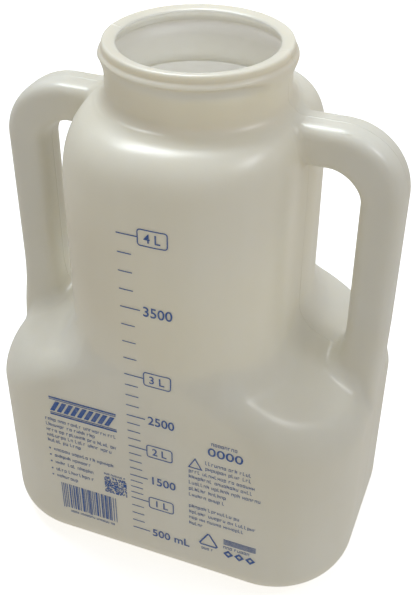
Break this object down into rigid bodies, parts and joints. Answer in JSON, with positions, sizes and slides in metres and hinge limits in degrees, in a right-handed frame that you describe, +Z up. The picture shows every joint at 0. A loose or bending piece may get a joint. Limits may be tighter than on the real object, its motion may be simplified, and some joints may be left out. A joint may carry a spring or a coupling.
{
  "type": "urine bottle",
  "caption": "Four litre wide-mouth urine bottle: hollow blow-moulded body with a broad tank, narrower column, two integral loop handles, beaded neck and printed volume scale.",
  "frame": {"origin": "middle of the underside, on the surface the bottle stands on", "axes": "+Z up towards the mouth; +X towards the right handle; the printed face looks along -Y"},
  "size_m": [0.1996, 0.139, 0.275],
  "materials": {
    "polyethylene": "natural translucent high density polyethylene, milky, soft satin skin",
    "blue_ink": "screen printed blue ink, satin"
  },
  "bodies": {
    "root": {"bottle_moulding": "polyethylene", "mark_500ml": "blue_ink", "mark_1l": "blue_ink", "mark_1500ml": "blue_ink", "mark_2l": "blue_ink", "mark_2500ml": "blue_ink", "mark_3l": "blue_ink", "mark_3500ml": "blue_ink", "mark_4l": "blue_ink", "fine_mark_above_500ml_1": "blue_ink", "fine_mark_above_500ml_2": "blue_ink", "fine_mark_above_500ml_3": "blue_ink", "fine_mark_above_1l_1": "blue_ink", "fine_mark_above_1l_2": "blue_ink", "fine_mark_above_1l_3": "blue_ink", "fine_mark_above_1500ml_1": "blue_ink", "fine_mark_above_1500ml_2": "blue_ink", "fine_mark_above_1500ml_3": "blue_ink", "fine_mark_above_2l_1": "blue_ink", "fine_mark_above_2l_2": "blue_ink", "fine_mark_above_2l_3": "blue_ink", "fine_mark_above_2500ml_1": "blue_ink", "fine_mark_above_2500ml_2": "blue_ink", "fine_mark_above_2500ml_3": "blue_ink", "fine_mark_above_3l_1": "blue_ink", "fine_mark_above_3l_2": "blue_ink", "fine_mark_above_3l_3": "blue_ink", "fine_mark_above_3500ml_1": "blue_ink", "fine_mark_above_3500ml_2": "blue_ink", "fine_mark_above_3500ml_3": "blue_ink"}
  },
  "joints": []
}
